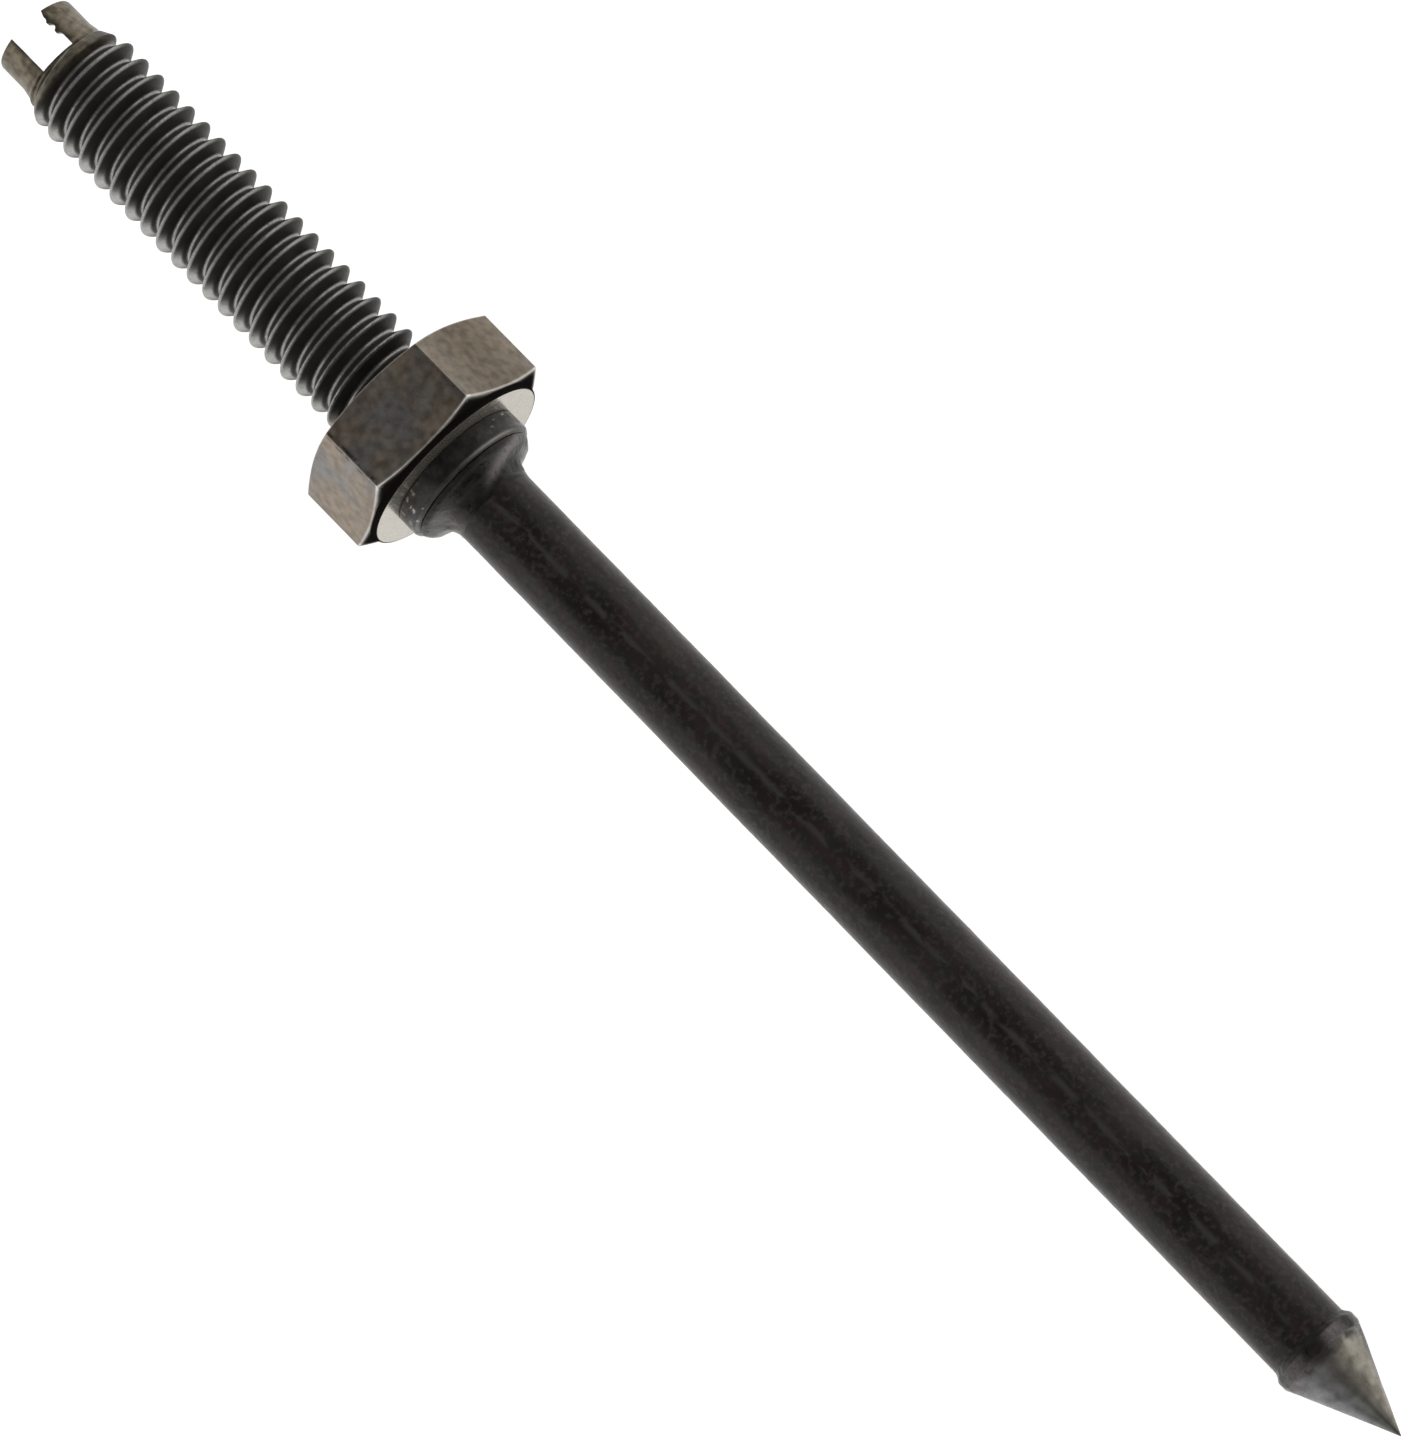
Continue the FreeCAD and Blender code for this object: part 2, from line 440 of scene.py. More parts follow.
def make_camera():
    """Looks down on the spike, which lies from the upper left of the picture to the lower right."""
    along, across, back = camera_axes()
    right = along * math.cos(CAMERA_ROLL) + across * math.sin(CAMERA_ROLL)
    up = across * math.cos(CAMERA_ROLL) - along * math.sin(CAMERA_ROLL)
    camera = bpy.data.objects.new("camera", bpy.data.cameras.new("camera"))
    camera.data.lens = CAMERA_LENS
    camera.data.clip_start = 0.005
    turn = Matrix((right, up, back)).transposed().to_4x4()
    camera.matrix_world = Matrix.Translation(AIM + back * CAMERA_DISTANCE) @ turn
    bpy.context.scene.collection.objects.link(camera)
    bpy.context.scene.camera = camera


def area_light(name, place, target, size, radiance, colour):
    """A soft box of a given brightness, turned to a target."""
    light = bpy.data.lights.new(name, "AREA")
    light.shape = "RECTANGLE"
    light.size, light.size_y = size
    light.energy = radiance * math.pi * size[0] * size[1]
    light.color = colour
    lamp = bpy.data.objects.new(name, light)
    lamp.location = place
    lamp.rotation_euler = (Vector(target) - Vector(place)).to_track_quat("-Z", "Y").to_euler()
    bpy.context.scene.collection.objects.link(lamp)


def make_floor():
    """Plain pale floor, just clear of the two places the spike rests on: nut edge and weld bead."""
    half_size = 3.0
    gap = 0.02 * MM
    glow = 0.8
    nut_low, nut_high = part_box("hex_nut")
    bead_low, bead_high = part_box("tip_weld_bead")
    nut_foot = Vector((nut_high.x, 0, nut_low.z))
    bead_foot = Vector((bead_low.x + bead_high.x, 0, 2 * bead_low.z)) / 2
    slope = math.atan2(bead_foot.z - nut_foot.z, bead_foot.x - nut_foot.x)
    corners = half_size * np.array([[-1, -1, 0], [1, -1, 0], [1, 1, 0], [-1, 1, 0]])
    floor = mesh_object("floor", corners, [(0, 1, 2, 3)])
    floor.location = nut_foot - Vector((0, 0, gap))
    floor.rotation_euler = (0, -slope, 0)
    shader = Shader("pale_floor", specular=0.1)
    shader.bsdf.inputs["Emission Color"].default_value = (1, 1, 1, 1)
    shader.bsdf.inputs["Emission Strength"].default_value = glow
    mottle = shader.noise(size=40.0)
    paper = shader.ramp(mottle, (0.3, (0.84, 0.84, 0.835)), (0.7, (0.87, 0.87, 0.865)))
    floor.data.materials.append(shader.finish(paper, roughness=0.8))
    floor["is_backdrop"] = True


def make_lights():
    """An even pale surround that is darker overhead, and soft boxes low on both sides."""
    world = bpy.data.worlds.new("studio")
    bpy.context.scene.world = world
    world.use_nodes = True
    tree = world.node_tree
    place = tree.nodes.new("ShaderNodeTexCoord")
    split = tree.nodes.new("ShaderNodeSeparateXYZ")
    ramp = tree.nodes.new("ShaderNodeValToRGB")
    tree.links.new(place.outputs["Generated"], split.inputs["Vector"])
    tree.links.new(split.outputs["Z"], ramp.inputs["Fac"])
    tree.links.new(ramp.outputs["Color"], tree.nodes["Background"].inputs["Color"])
    level, overhead = ramp.color_ramp.elements
    level.position = 0.40
    level.color = (0.52, 0.52, 0.51, 1)
    overhead.position = 0.92
    overhead.color = (0.22, 0.22, 0.225, 1)
    both = {"target": (0.02, 0, 0), "radiance": 0.9}
    area_light("key", place=(0.0, -0.36, 0.16), size=(0.45, 0.22), colour=(1.0, 0.99, 0.97), **both)
    area_light("fill", place=(0.06, 0.38, 0.14), size=(0.45, 0.2), colour=(1.0, 0.96, 0.90), **both)
    bpy.context.scene.view_settings.view_transform = "Standard"


def stud_blank(x):
    """Radius of the stud before its thread: dog end, lead-in cone, full diameter, relief."""
    low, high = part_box("threaded_stud")
    edge = 0.18 * MM
    edge_bend = edge * 0.3
    above_crests = THREAD_RADIUS + 0.02 * MM
    crest_drop = THREAD_RADIUS - RELIEF_RADIUS
    outline = [
        (low.x, DOG_RADIUS - edge),
        (low.x + edge_bend, DOG_RADIUS - edge_bend),
        (low.x + edge, DOG_RADIUS),
        (low.x + DOG_LENGTH, DOG_RADIUS),
        (LEAD_IN_START, LEAD_IN_RADIUS),
        (-THREAD_LENGTH, above_crests),
        (-RELIEF_LENGTH - crest_drop, above_crests),
        (-RELIEF_LENGTH, RELIEF_RADIUS),
        (high.x, RELIEF_RADIUS),
    ]
    places, radii = np.array(outline).T
    return np.interp(x, places, radii)


def make_stud():
    """Stud: slotted dog end, right-hand thread, relief, and a socket for the shank's spigot."""
    low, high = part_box("threaded_stud")
    rings_a_turn = 28
    angles = even_angles(144)
    rings = math.ceil((high.x - low.x) / PITCH * rings_a_turn)
    x = np.linspace(low.x, high.x, rings)[:, None]
    outside = soft_min(stud_blank(x), thread_radius(x, angles), BLEND)
    face_rings = np.linspace(0.15, 0.95, 5)
    socket = np.array([
        (0, SOCKET_FACE_RADIUS),
        (0, SOCKET_MOUTH_RADIUS),
        (-SOCKET_CHAMFER, SPIGOT_RADIUS),
        (-SPIGOT_LENGTH, SPIGOT_RADIUS),
        (-SPIGOT_LENGTH - DRILL_TIP_LENGTH, DRILL_TIP_RADIUS),
    ])
    points = np.concatenate([
        ring_points(low.x, face_rings[:, None] * outside[0], angles),
        ring_points(x, outside, angles),
        ring_points(socket[:, :1], np.tile(socket[:, 1:], len(angles)), angles),
    ])
    stud = rings_object("stud_body", points, looped=False)
    bpy.context.view_layer.update()
    cut_slot(stud)
    paint_stud(stud)
    return stud


def cut_slot(stud):
    """Cuts the driver slot across the dog end, leaving a ragged burr inside one prong."""
    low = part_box("threaded_stud")[0]
    overshoot = 1.0 * MM
    size = Vector((SLOT_DEPTH + overshoot, SLOT_WIDTH, 4 * DOG_RADIUS))
    centre = Vector((low.x + (SLOT_DEPTH - overshoot) / 2, 0, 0))
    shape = bmesh.new()
    bmesh.ops.create_cube(shape, size=1.0)
    bmesh.ops.scale(shape, vec=size, verts=shape.verts)
    bmesh.ops.subdivide_edges(shape, edges=shape.edges, cuts=31, use_grid_fill=True)
    wall_grain = 0.9 * MM
    floor_grain = 0.7 * MM
    wall_start = 0.4 * SLOT_WIDTH
    for vertex in shape.verts:
        saw = noise.noise(vertex.co / wall_grain) * SLOT_ROUGHNESS
        side = math.copysign(1, vertex.co.y) * min(1, abs(vertex.co.y) / wall_start)
        along = vertex.co.x + centre.x - low.x
        burr = 0
        if vertex.co.y > BURR_SIDE and vertex.co.z > BURR_START:
            burr = sum(height * ridge(along - place, width) for place, width, height in BURR_TEETH)
        vertex.co.y += saw * side - burr
        vertex.co.x += noise.noise(vertex.co / floor_grain) * SLOT_ROUGHNESS
    bmesh.ops.translate(shape, vec=centre, verts=shape.verts)
    bmesh.ops.rotate(shape, matrix=Matrix.Rotation(SLOT_TURN, 3, "X"), verts=shape.verts)
    mesh = bpy.data.meshes.new("slot_cutter")
    shape.to_mesh(mesh)
    shape.free()
    cutter = bpy.data.objects.new("slot_cutter", mesh)
    bpy.context.scene.collection.objects.link(cutter)
    cut = stud.modifiers.new("slot", "BOOLEAN")
    cut.operation = "DIFFERENCE"
    cut.solver = "EXACT"
    cut.object = cutter
    apply_modifiers(stud)
    bpy.data.objects.remove(cutter)


def apply_modifiers(piece):
    """Replaces a piece's mesh with what its modifiers make of it."""
    graph = bpy.context.evaluated_depsgraph_get()
    made = bpy.data.meshes.new_from_object(piece.evaluated_get(graph))
    piece.modifiers.clear()
    piece.data = made


def paint_stud(stud):
    """Marks the rubbed crests and roots with painted sheen and shade by side, the bare dog end, and
    painted shade by the slot and from the neck on.
    """
    points = coordinates(stud)
    x, radius, angle = axial(points)
    height = (radius - THREAD_RADIUS + THREAD_DEPTH) / THREAD_DEPTH
    threaded = smooth_step(x, start=-44.2 * MM, end=-43.6 * MM)
    # Painted light: crests stay dark on the shaded upper side, and the lower crest tips get a painted
    # sheen on the lit side
    dark_side = patches(angle, [(-82, 24, 0.9)])
    light_side = patches(angle, [(82, 20, 1.0)])
    crest = smooth_step(height, start=0.80, end=0.95) * (1 - dark_side)
    sheen_low_tips = smooth_step(height, start=0.30, end=0.5) * light_side
    root = 1 - smooth_step(height, start=0.02, end=0.12)
    root_strength = 0.9
    paint(stud, "rubbed_and_sheen", (np.maximum(crest, sheen_low_tips) + root_strength * root) * threaded)
    first_crest = smooth_step(radius, start=3.92 * MM, end=4.05 * MM)
    first_crest = first_crest * patches(angle, [(-84, 36, 1.0)])
    free_end = 1 - smooth_step(x, start=-44.1 * MM, end=-43.5 * MM)
    paint(stud, "bare", free_end * (1 - first_crest))
    # Painted shade: dark bands along the slot's edges, and the thread from the neck on darkened except on
    # the lit side
    across = np.abs(points[:, 1] * math.cos(SLOT_TURN) + points[:, 2] * math.sin(SLOT_TURN))
    off_slot = across - SLOT_WIDTH / 2
    beside_slot = 1 - smooth_step(off_slot, start=0.05 * MM, end=0.35 * MM)
    in_slot = 1 - smooth_step(x, start=-45.4 * MM, end=-44.9 * MM)
    unshaded_side = patches(angle, [(72, 26, 0.8)])
    thread_shade = smooth_step(x, start=-45.7 * MM, end=-45.2 * MM) * (1 - unshaded_side)
    thread_shade_strength = 0.45
    paint(stud, "slot_and_thread_shade", np.maximum(beside_slot * in_slot, thread_shade_strength * thread_shade))


def hexagon_radius(angles, half_flats):
    """Radius of a hexagon with soft corners, whose first flat faces 30 degrees."""
    far_off = 1.0
    facing_limit = 0.3
    hexagon = np.full_like(angles, far_off)
    for k in range(6):
        facing = np.cos(angles - math.radians(30 + 60 * k))
        flat = np.where(facing > facing_limit, half_flats / facing, far_off)
        hexagon = soft_min(hexagon, flat, BLEND)
    return hexagon


def make_nut():
    """Nut: a hexagon coned at both ends, with a washer face, soft edges and a real thread inside."""
    low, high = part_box("hex_nut")
    height = high.x - low.x
    past_corner = high.y + 0.05 * MM
    bore = THREAD_RADIUS + FIT_CLEARANCE
    # Points stand closer together towards each corner of the hexagon
    sector_points = 60
    crowding = 1.5
    sector = np.linspace(-1, 1, sector_points, endpoint=False)
    sector = np.sign(sector) * np.abs(sector) ** crowding * math.pi / 6
    angles = np.concatenate([sector + k * math.pi / 3 for k in range(6)])
    outline = softened([
        (-NUT_COUNTERSINK, bore),
        (0, bore + NUT_COUNTERSINK),
        (0, WASHER_RADIUS - WASHER_EDGE),
        (-WASHER_EDGE, WASHER_RADIUS),
        (-WASHER_HEIGHT, WASHER_RADIUS),
        (-NUT_BASE_CORNER_DROP, past_corner),
        (NUT_TOP_CORNER_DROP - height, past_corner),
        (-height, NUT_TOP_CIRCLE),
        (-height, bore + NUT_COUNTERSINK),
        (NUT_COUNTERSINK - height, bore),
    ], radius=0.06 * MM, step=0.06 * MM)
    outside = soft_min(outline[:, 1:], hexagon_radius(angles, high.z), BLEND)
    thread_rings = 90
    inside_x = np.linspace(outline[-1, 0], outline[0, 0], thread_rings)[1:-1, None]
    cut = thread_radius(inside_x, angles) + FIT_CLEARANCE
    inside = soft_min(cut, np.full_like(cut, bore), blend=0.02 * MM)
    points = np.concatenate([
        ring_points(outline[:, :1], outside, angles),
        ring_points(inside_x, inside, angles),
    ])
    nut = rings_object("nut_body", points[::-1], looped=True)
    paint_nut(nut, low, high)
    return nut


def paint_nut(nut, low, high):
    """Forging unevenness, and marks for bright edges, painted dark reflection on the chamfer, washer
    face, grime and painted shade on one side.
    """
    points = coordinates(nut)
    x, radius, angle = axial(points)
    corner = high.y
    height = high.x - low.x
    sector = (angle + math.pi / 6) % (math.pi / 3) - math.pi / 6
    from_corner = np.abs(sector) * radius
    hexagon = high.z / np.cos(math.pi / 6 - np.abs(sector))
    base_run = (NUT_BASE_CORNER_DROP - WASHER_HEIGHT) / (corner - WASHER_RADIUS)
    base_x = -WASHER_HEIGHT - (hexagon - WASHER_RADIUS) * base_run
    top_run = NUT_TOP_CORNER_DROP / (corner - NUT_TOP_CIRCLE)
    top_x = -height + (hexagon - NUT_TOP_CIRCLE) * top_run
    past_washer = radius - WASHER_RADIUS
    base_edge = ridge(x - base_x, width=0.09 * MM)
    base_edge *= smooth_step(past_washer, start=0.03 * MM, end=0.09 * MM)
    base_edge *= 0.6 + 0.7 * ridge(from_corner, width=0.5 * MM)
    top_edge = 0.5 * ridge(x - top_x, width=0.07 * MM)
    top_edge *= smooth_step(radius - NUT_TOP_CIRCLE, start=0.4 * MM, end=0.5 * MM)
    side_edge = 0.25 * ridge(from_corner, width=0.05 * MM)
    side_edge *= smooth_step(radius, start=9.0 * MM, end=9.4 * MM)
    paint(nut, "edge", base_edge + top_edge + side_edge)
    face = smooth_step(x, start=-0.03 * MM, end=-0.01 * MM)
    face *= smooth_step(radius, start=5.75 * MM, end=5.85 * MM)
    face *= 1 - smooth_step(past_washer, start=-0.20 * MM, end=-0.12 * MM)
    paint(nut, "polished", face)
    # Painted reflection: the chamfer is painted black all round, standing in for the dark it reflects
    chamfer = smooth_step(x - base_x, start=0.03 * MM, end=0.10 * MM)
    chamfer *= smooth_step(radius, start=5.6 * MM, end=5.8 * MM)
    paint(nut, "scale", chamfer * (1 - face))
    side_faces = x < base_x
    grime = ridge(from_corner - 0.20 * MM, width=0.13 * MM) * side_faces
    grime *= smooth_step(radius, start=8.0 * MM, end=8.6 * MM)
    paint(nut, "grime", grime * patches(angle, [(34, 8, 1.0), (-26, 8, 0.35), (180, 70, 0.7)]))
    # Painted shade: the side face towards +Y is made darker
    paint(nut, "shade", patches(angle, [(-56, 29.5, 1.0)]) * side_faces)
    outer = smooth_step(radius, start=6.5 * MM, end=7.5 * MM)
    outer *= 1 - smooth_step(x, start=-0.6 * MM, end=-0.4 * MM)
    hollow = 0.6
    unevenness = 0.016 * MM
    swell(nut, outer * (wobble(points, size=3.0 * MM, seed=1, octaves=2) - hollow) * unevenness)


def make_collar():
    """Collar: a rough ring with small dents and a rubbed end edge, with painted sheen on the edge and
    painted glints.
    """
    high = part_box("stop_collar")[1]
    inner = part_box("shank_rod")[1].z
    shoulder_edge = 0.1 * MM
    outline = softened([
        (0, inner),
        (0, high.z - shoulder_edge),
        (shoulder_edge, high.z),
        (high.x - COLLAR_EDGE, high.z),
        (high.x, high.z - COLLAR_EDGE),
        (high.x, inner),
    ], radius=0.12 * MM, step=0.05 * MM)
    collar = turned("collar_ring", outline, around=240, looped=True)
    points = coordinates(collar)
    x, radius, angle = axial(points)
    outer = smooth_step(radius, start=4.4 * MM, end=5.2 * MM) * smooth_step(x, start=0, end=0.15 * MM)
    lumps = 0.035 * wobble(points, size=1.6 * MM, seed=2)
    dents = 0.012 * wobble(points, size=0.5 * MM, seed=3, octaves=2)
    inset = 0.03
    swell(collar, outer * (lumps + dents - inset) * MM)
    rim = ridge(x - high.x + COLLAR_EDGE * 0.6, width=0.10 * MM)
    rim *= smooth_step(radius - high.z, start=-0.5 * MM, end=-0.3 * MM)
    # Painted highlight: the end edge's sheen changes round the collar, and small spots are painted glints
    rubbed_and_sheen = patches(angle, [(-36, 28, 0.5), (66, 12, 0.3), (170, 50, 0.6)])
    glints = smooth_step(wobble(points, size=0.6 * MM, seed=4, octaves=2), start=0.40, end=0.52)
    glints *= patches(angle, [(-60, 16, 1.0), (55, 18, 1.0)]) * outer
    glint_strength = 0.8
    paint(collar, "wear_and_glints", rim * rubbed_and_sheen + glint_strength * glints)
    return collar


def make_weld():
    """Fillet weld: a rounded shoulder that falls steeply into a hollow toe, gently lumpy."""
    low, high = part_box("shank_weld")
    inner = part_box("shank_rod")[1].z
    slope = [(low.x + x, r) for x, r in (WELD_SHOULDER, WELD_SLOPE, WELD_HOLLOW, WELD_TOE)]
    start = [(low.x, inner - OVERLAP), (low.x, high.z)]
    end = [(high.x, inner), (high.x, inner - OVERLAP)]
    outline = softened(start + slope + end, radius=0.35 * MM, step=0.06 * MM)
    weld = turned("weld_fillet", outline, around=240, looped=True)
    points = coordinates(weld)
    x, radius, angle = axial(points)
    from_collar = x - low.x
    free = smooth_step(from_collar, start=0, end=0.3 * MM)
    free *= 1 - smooth_step(x - high.x, start=-0.5 * MM, end=0)
    free *= smooth_step(radius - inner, start=0, end=0.1 * MM)
    lumps = 0.14 * wobble(points, size=2.2 * MM, seed=7, octaves=2)
    ripples = 0.05 * wobble(points, size=0.7 * MM, seed=8, octaves=2)
    inset = 0.02
    swell(weld, free * (lumps + ripples - inset) * MM)
    # Painted light: a highlight streak on the upper side, and pale lit patches on the lower and far sides
    past = (np.degrees(angle) - FACING + 180) % 360 - 180
    highlight_track = (2.0 + 0.024 * past) * MM
    highlight_streak = ridge(from_collar - highlight_track, width=0.38 * MM) * patches(angle, [(-44, 30, 1.0)])
    side = patches(angle, [(60, 18, 0.5), (150, 45, 0.5)])
    side *= smooth_step(from_collar, start=0.3 * MM, end=0.8 * MM)
    paint(weld, "pale", highlight_streak + side)
    return weld


def make_rod():
    """Shank: a long round bar, very slightly uneven under its scale, with a spigot for the stud."""
    low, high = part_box("shank_rod")
    edge = 0.4 * MM
    outline = softened([
        (low.x, HIDDEN_FACE_RADIUS),
        (low.x, SPIGOT_RADIUS - edge),
        (low.x + edge, SPIGOT_RADIUS),
        (0, SPIGOT_RADIUS),
        (0, high.z),
        (high.x, high.z),
        (high.x, HIDDEN_FACE_RADIUS),
    ], radius=0.05 * MM, step=0.28 * MM)
    rod = turned("shank_bar", outline, around=128, looped=False)
    points = coordinates(rod)
    x, _, angle = axial(points)
    free = smooth_step(x, start=2.0 * MM, end=5.0 * MM)
    slow = 0.016 * wobble(points, size=5.0 * MM, seed=11, octaves=2)
    quick = 0.010 * wobble(points, size=1.1 * MM, seed=12, octaves=2)
    inset = 0.012
    swell(rod, free * (slow + quick - inset) * MM)
    # Painted highlight: a faint line along the bar, just off the side that faces the camera
    paint(rod, "highlight_line", patches(angle, [(-3, 4.5, 1.0)]) * free)
    return rod


def make_bead():
    """Weld bead round the butt joint of shank and point, with an uneven surface and ends."""
    low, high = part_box("tip_weld_bead")
    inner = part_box("shank_rod")[1].z
    outline = softened([
        (low.x, inner - OVERLAP),
        (low.x, inner),
        (low.x + BEAD_RISE[0], BEAD_RISE[1]),
        (low.x + BEAD_CROWN_START, high.z),
        (high.x - BEAD_CROWN_END, high.z),
        (high.x, BEAD_FOOT_RADIUS),
        (high.x, inner - OVERLAP),
    ], radius=0.2 * MM, step=0.05 * MM)
    bead = turned("tip_bead", outline, around=200, looped=True)
    points = coordinates(bead)
    x, radius, angle = axial(points)
    free = smooth_step(radius - inner, start=0, end=0.15 * MM)
    lumps = 0.05 * wobble(points, size=1.2 * MM, seed=14, octaves=2)
    ripples = 0.02 * wobble(points, size=0.4 * MM, seed=15, octaves=2)
    inset = 0.03
    swell(bead, free * (lumps + ripples - inset) * MM)
    points = coordinates(bead)
    shift = 0.08 * MM
    points[:, 0] += free * wobble(points, size=1.2 * MM, seed=16, octaves=2) * shift
    move_vertices(bead, points)
    side = patches(angle, [(-29, 16, 0.9), (-74, 12, 0.4), (42, 26, 0.55), (135, 40, 0.5)])
    paint(bead, "pale", side * smooth_step(x - low.x, start=0.5 * MM, end=0.75 * MM))
    return bead


def make_point():
    """Point: a ground cone with shallow hand-ground facets, and marks for its stains and a painted shadow
    by the bead.
    """
    low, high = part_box("cone_point")
    bead_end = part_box("tip_weld_bead")[1].x
    stub_end = bead_end - POINT_STUB_GAP
    outline = softened([
        (low.x, HIDDEN_FACE_RADIUS),
        (low.x, POINT_STUB_RADIUS),
        (stub_end, POINT_STUB_RADIUS),
        (stub_end, POINT_BASE_RADIUS),
        (bead_end, POINT_BASE_RADIUS),
        (high.x - POINT_TIP_LENGTH, POINT_TIP_RADIUS),
        (high.x, 0.02 * MM),
    ], radius=0.04 * MM, step=0.09 * MM)
    point = turned("ground_point", outline, around=128, looped=False)
    points = coordinates(point)
    x, radius, angle = axial(points)
    from_bead = x - bead_end
    free = smooth_step(from_bead, start=0, end=0.6 * MM)
    free *= smooth_step(radius, start=0.1 * MM, end=1.2 * MM)
    facet_count = 11
    facet_turn = 1.3
    facet_share = 0.25
    facet_depth = 0.03 * MM
    facets = np.cos(angle * facet_count + facet_turn) * facet_share
    streaks = wobble(points * [0.3, 1, 1], size=1.1 * MM, seed=18, octaves=2)
    swell(point, free * (facets + streaks) * facet_depth)
    paint(point, "burnt", smooth_step(x - high.x, start=-2.2 * MM, end=-0.4 * MM))
    root = 1 - smooth_step(from_bead, start=0, end=1.1 * MM)
    blots = smooth_step(wobble(points, size=0.9 * MM, seed=19, octaves=2), start=0.1, end=0.4)
    blots += patches(angle, [(3, 13, 1.0)])
    ragged = (0.5 + 0.5 * wobble(points, size=0.8 * MM, seed=20, octaves=2)) * MM
    paint(point, "spread", 1 - smooth_step(from_bead - ragged, start=-0.25 * MM, end=0.25 * MM))
    # Painted shadow: darker on the upper side next to the bead, added to the stains
    shadow = 1 - smooth_step(from_bead, start=1.0 * MM, end=5.0 * MM)
    paint(point, "stain_and_shadow", root * blots + shadow * patches(angle, [(-84, 15, 1.0)]))
    # Darker along the side that faces the camera and along the far side
    paint(point, "middle_band", patches(angle, [(0, 10, 1.0), (180, 14, 0.7)]))
    return point


def thread_finish():
    """Black oxide with rubbed crests and roots, partly painted sheen, painted shade, and a bare browned
    dog end.
    """
    s = Shader("blackened_thread", specular=0.05)
    patch = s.noise(size=2.2)
    grain = s.noise(size=0.18, detail=6)
    black = s.ramp(patch, (0.3, (0.021, 0.020, 0.0205)), (0.75, (0.048, 0.043, 0.036)))
    steel = s.ramp(grain, (0.25, (0.25, 0.25, 0.245)), (0.75, (0.50, 0.49, 0.47)))
    streaks = s.levels(s.noise(size=0.6, shift=3), start=0.2, end=0.5, low=0.65, high=1.0)
    # Rubbed steel on crests and roots, with painted sheen
    rubbed_and_sheen = s.maths("MULTIPLY", s.painted("rubbed_and_sheen"), streaks)
    colour = s.mix(rubbed_and_sheen, black, steel)
    bronze_patch = s.noise(size=0.7, detail=5, shift=5)
    bronze = s.ramp(bronze_patch, (0.35, (0.088, 0.073, 0.052)), (0.65, (0.205, 0.178, 0.134)))
    colour = s.mix(s.painted("bare"), colour, bronze)
    # Painted shade by the slot and on the thread
    colour = s.mix(s.scaled(s.painted("slot_and_thread_shade"), strength=0.6), colour, (0.022, 0.019, 0.016))
    s.feed(s.bsdf.inputs["Metallic"], s.maths("MAXIMUM", rubbed_and_sheen, s.painted("bare")))
    roughness = s.levels(grain, start=0.2, end=0.8, low=0.28, high=0.46)
    return s.finish(colour, roughness, (patch, 0.03), (grain, 0.012))


def nut_finish():
    """Browned steel: soft brown and grey patches, rubbed edges, black painted reflection on the chamfer,
    polished face, painted shade on one side.
    """
    s = Shader("nut_steel", specular=0.0)
    patch = s.noise(size=5.0, detail=4, distortion=0.4)
    mottle = s.noise(size=0.8, detail=6, shift=2)
    grain = s.noise(size=0.10, detail=4, shift=4)
    scratches = s.noise(size=0.22, stretch=(9, 1, 1), detail=3, shift=6)
    brown = s.ramp(mottle, (0.35, (0.180, 0.142, 0.106)), (0.65, (0.300, 0.247, 0.194)))
    grey = s.ramp(mottle, (0.35, (0.155, 0.148, 0.140)), (0.65, (0.245, 0.236, 0.226)))
    colour = s.mix(s.levels(patch, start=0.40, end=0.64), brown, grey)
    # Painted shade for the side face towards +Y
    shaded = s.ramp(mottle, (0.35, (0.092, 0.073, 0.050)), (0.65, (0.176, 0.143, 0.105)))
    colour = s.mix(s.painted("shade"), colour, shaded)
    smears = s.levels(s.noise(size=0.8, shift=9), start=0.46, end=0.58, low=0.1, high=0.9)
    grime = s.maths("MULTIPLY", s.painted("grime"), smears)
    colour = s.mix(grime, colour, (0.028, 0.024, 0.020))
    # Black painted reflection on the chamfer, with no metal shine
    scale = s.ramp(grain, (0.3, (0.006, 0.0055, 0.005)), (0.7, (0.014, 0.012, 0.011)))
    colour = s.mix(s.painted("scale"), colour, scale)
    polished = s.ramp(scratches, (0.3, (0.42, 0.39, 0.33)), (0.7, (0.52, 0.485, 0.42)))
    colour = s.mix(s.painted("polished"), colour, polished)
    bright = s.ramp(grain, (0.3, (0.55, 0.53, 0.49)), (0.7, (0.80, 0.78, 0.74)))
    uneven = s.levels(mottle, start=0.2, end=0.6, low=0.6, high=1.0)
    wear = s.maths("MULTIPLY", s.painted("edge"), uneven)
    colour = s.mix(wear, colour, bright)
    s.feed(s.bsdf.inputs["Metallic"], s.maths("SUBTRACT", 0.9, s.painted("scale")))
    dull = s.levels(mottle, start=0.2, end=0.8, low=0.30, high=0.46)
    smoother = s.scaled(s.painted("polished"), strength=0.18)
    roughness = s.maths("SUBTRACT", dull, smoother)
    return s.finish(colour, roughness, (mottle, 0.010))


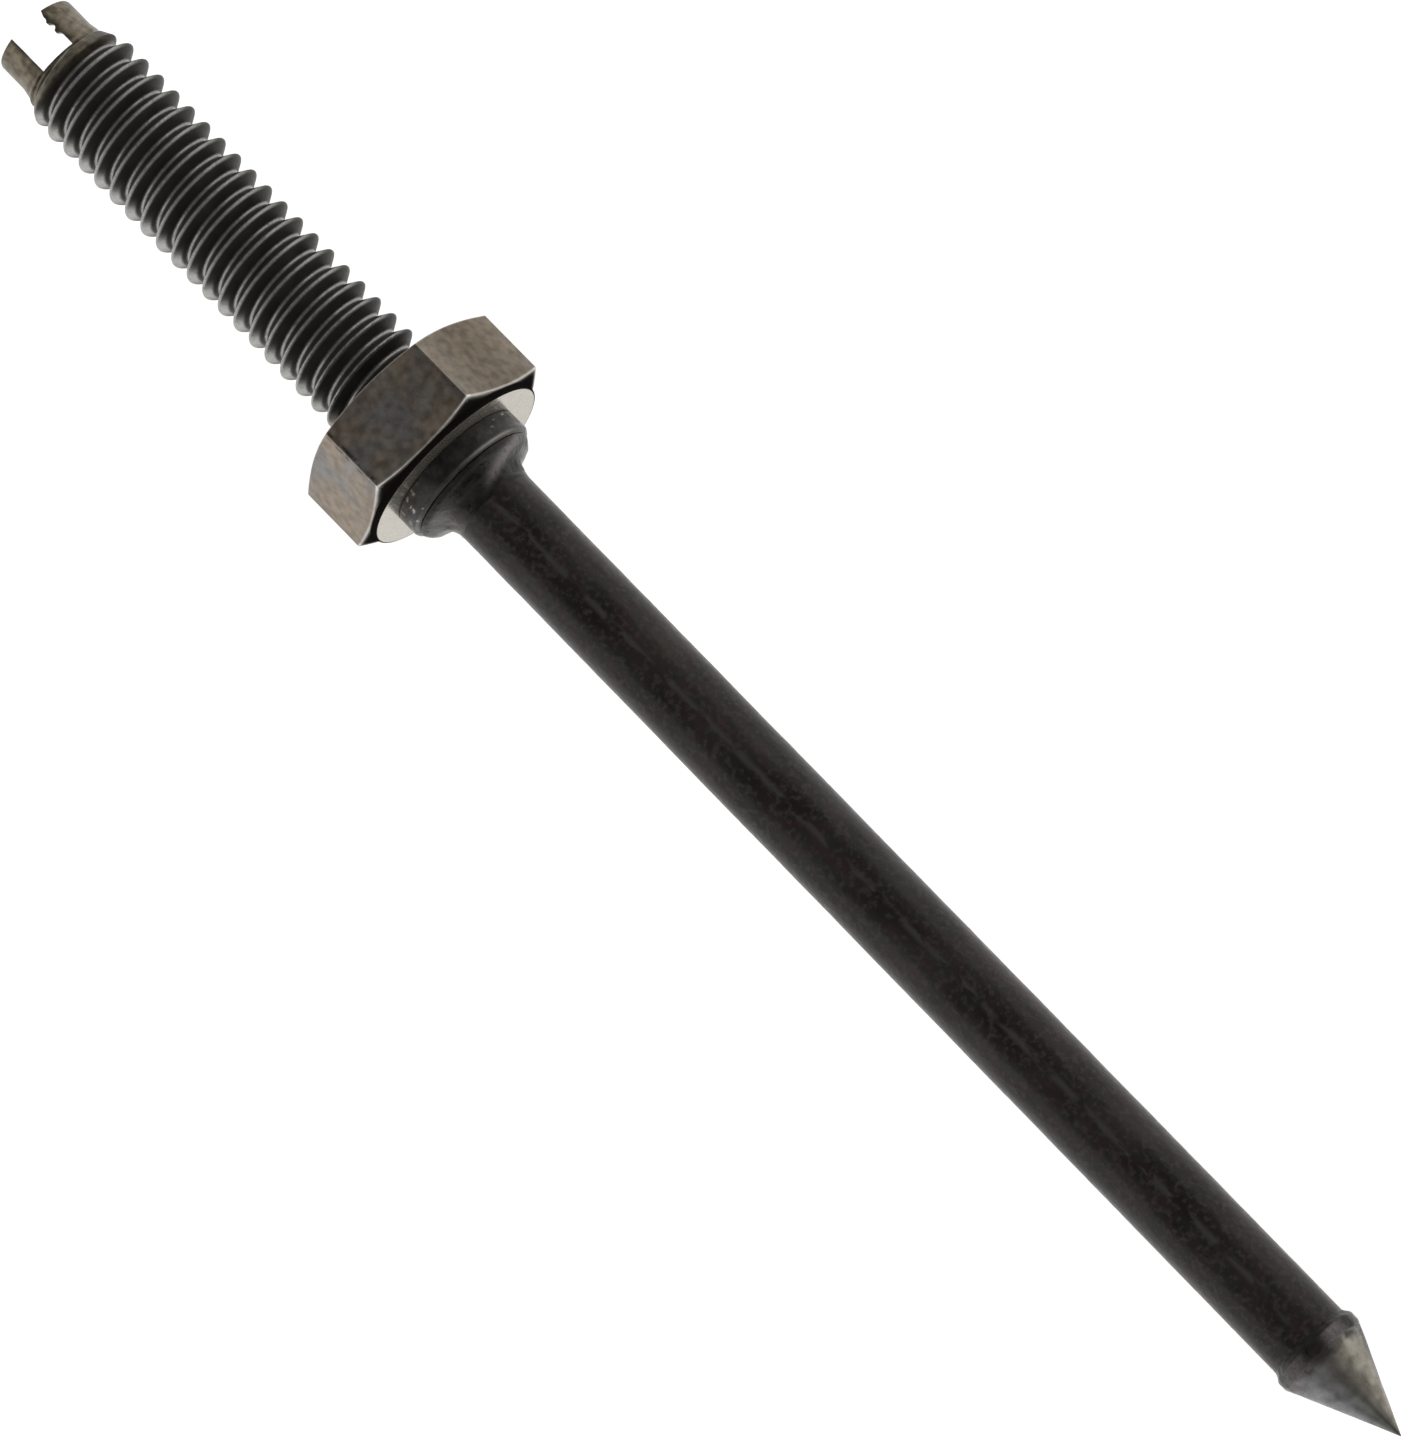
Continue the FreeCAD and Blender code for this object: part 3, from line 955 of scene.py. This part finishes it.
def scale_finish():
    """Black mill scale on the bar: brown-black and granular, with a faint broken painted highlight line
    along it.
    """
    s = Shader("mill_scale", specular=0.2)
    patch = s.noise(size=2.6, stretch=(2.5, 1, 1), detail=5)
    grain = s.noise(size=0.45, detail=6, shift=3)
    pits = s.cells(size=0.55)
    red = s.ramp(patch, (0.35, (0.013, 0.0085, 0.0075)), (0.65, (0.036, 0.024, 0.021)))
    olive = s.ramp(patch, (0.35, (0.010, 0.0095, 0.0075)), (0.65, (0.026, 0.025, 0.021)))
    dark = s.mix(s.levels(s.noise(size=1.4, detail=4, shift=6), start=0.42, end=0.58), red, olive)
    flecks = s.levels(grain, start=0.48, end=0.66)
    colour = s.mix(s.scaled(flecks, strength=0.7), dark, (0.050, 0.043, 0.040))
    # Painted highlight line, broken up by noise
    breaks = s.noise(size=1.0, stretch=(2.5, 1, 1), shift=8)
    broken = s.levels(breaks, start=0.44, end=0.56, low=0.0, high=0.8)
    colour = s.mix(s.maths("MULTIPLY", s.painted("highlight_line"), broken), colour, (0.062, 0.060, 0.059))
    roughness = s.levels(grain, start=0.2, end=0.8, low=0.24, high=0.42)
    return s.finish(colour, roughness, (patch, 0.02), (grain, 0.025), (pits, 0.012))


def collar_finish():
    """Burnt black ring, glossier than the bar, with its end edge rubbed and painted highlights on the
    edge and in spots.
    """
    s = Shader("burnt_collar", specular=0.3)
    mottle = s.noise(size=0.8, detail=6)
    grain = s.noise(size=0.16, detail=5, shift=3)
    black = s.ramp(mottle, (0.35, (0.007, 0.006, 0.0055)), (0.65, (0.030, 0.026, 0.024)))
    # Rubbed edge and painted highlights
    colour = s.mix(s.painted("wear_and_glints"), black, (0.42, 0.40, 0.36))
    s.feed(s.bsdf.inputs["Metallic"], s.painted("wear_and_glints"))
    roughness = s.levels(mottle, start=0.2, end=0.8, low=0.22, high=0.42)
    return s.finish(colour, roughness, (mottle, 0.035), (grain, 0.012))


def weld_finish():
    """Burnt weld metal: glossy black, with dull pinkish grey on some sides; on the fillet weld that grey
    is a painted highlight streak and painted light on its lower and far sides.
    """
    s = Shader("weld_metal", specular=0.2)
    mottle = s.noise(size=0.7, detail=5, distortion=0.3)
    grain = s.noise(size=0.16, detail=5, shift=3)
    black = s.ramp(mottle, (0.3, (0.006, 0.0055, 0.005)), (0.75, (0.022, 0.019, 0.018)))
    # Pale grey: on the fillet weld a painted highlight and painted light
    pale = s.ramp(grain, (0.3, (0.13, 0.114, 0.113)), (0.7, (0.23, 0.205, 0.204)))
    cover = s.maths("MULTIPLY", s.painted("pale"), s.levels(mottle, start=0.24, end=0.44))
    colour = s.mix(cover, black, pale)
    roughness = s.levels(mottle, start=0.2, end=0.8, low=0.20, high=0.40)
    return s.finish(colour, roughness, (mottle, 0.05), (grain, 0.012))


def ground_finish():
    """Ground steel with heat stain: olive on one side, blue-grey on the other, burnt at the tip."""
    s = Shader("ground_steel", metallic=0.8)
    split = s.node("ShaderNodeSeparateXYZ")
    s.feed(split.inputs["Vector"], s.place)
    side = s.levels(split.outputs["Y"], start=-1.0 * MM, end=1.0 * MM)
    lines = s.noise(size=0.16, stretch=(1, 4, 4), detail=4)
    mottle = s.noise(size=1.0, detail=5, shift=2)
    grain = s.noise(size=0.12, detail=4, shift=5)
    olive = s.ramp(mottle, (0.3, (0.170, 0.156, 0.130)), (0.7, (0.36, 0.335, 0.285)))
    blue = s.ramp(mottle, (0.3, (0.115, 0.116, 0.117)), (0.7, (0.235, 0.236, 0.238)))
    colour = s.mix(side, blue, olive)
    # Darker band along the middle
    colour = s.mix(s.scaled(s.painted("middle_band"), strength=0.55), colour, (0.070, 0.062, 0.056))
    colour = s.mix(s.scaled(s.painted("spread"), strength=0.85), colour, (0.115, 0.102, 0.100))
    # Stains, with a painted shadow by the bead
    colour = s.mix(s.scaled(s.painted("stain_and_shadow"), strength=0.85), colour, (0.040, 0.036, 0.033))
    colour = s.mix(s.scaled(s.painted("burnt"), strength=0.3), colour, (0.030, 0.026, 0.022))
    roughness = s.levels(lines, start=0.2, end=0.8, low=0.34, high=0.52)
    return s.finish(colour, roughness, (lines, 0.012), (mottle, 0.02), (grain, 0.006))


make_camera()
make_floor()
make_lights()

weld_metal = weld_finish()
finish_piece(make_stud(), "threaded_stud", "spike", thread_finish())
finish_piece(make_nut(), "hex_nut", "nut", nut_finish())
finish_piece(make_collar(), "stop_collar", "spike", collar_finish())
finish_piece(make_weld(), "shank_weld", "spike", weld_metal)
finish_piece(make_rod(), "shank_rod", "spike", scale_finish())
finish_piece(make_bead(), "tip_weld_bead", "spike", weld_metal)
finish_piece(make_point(), "cone_point", "spike", ground_finish())

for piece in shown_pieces():
    shade(piece)

bpy.context.view_layer.update()
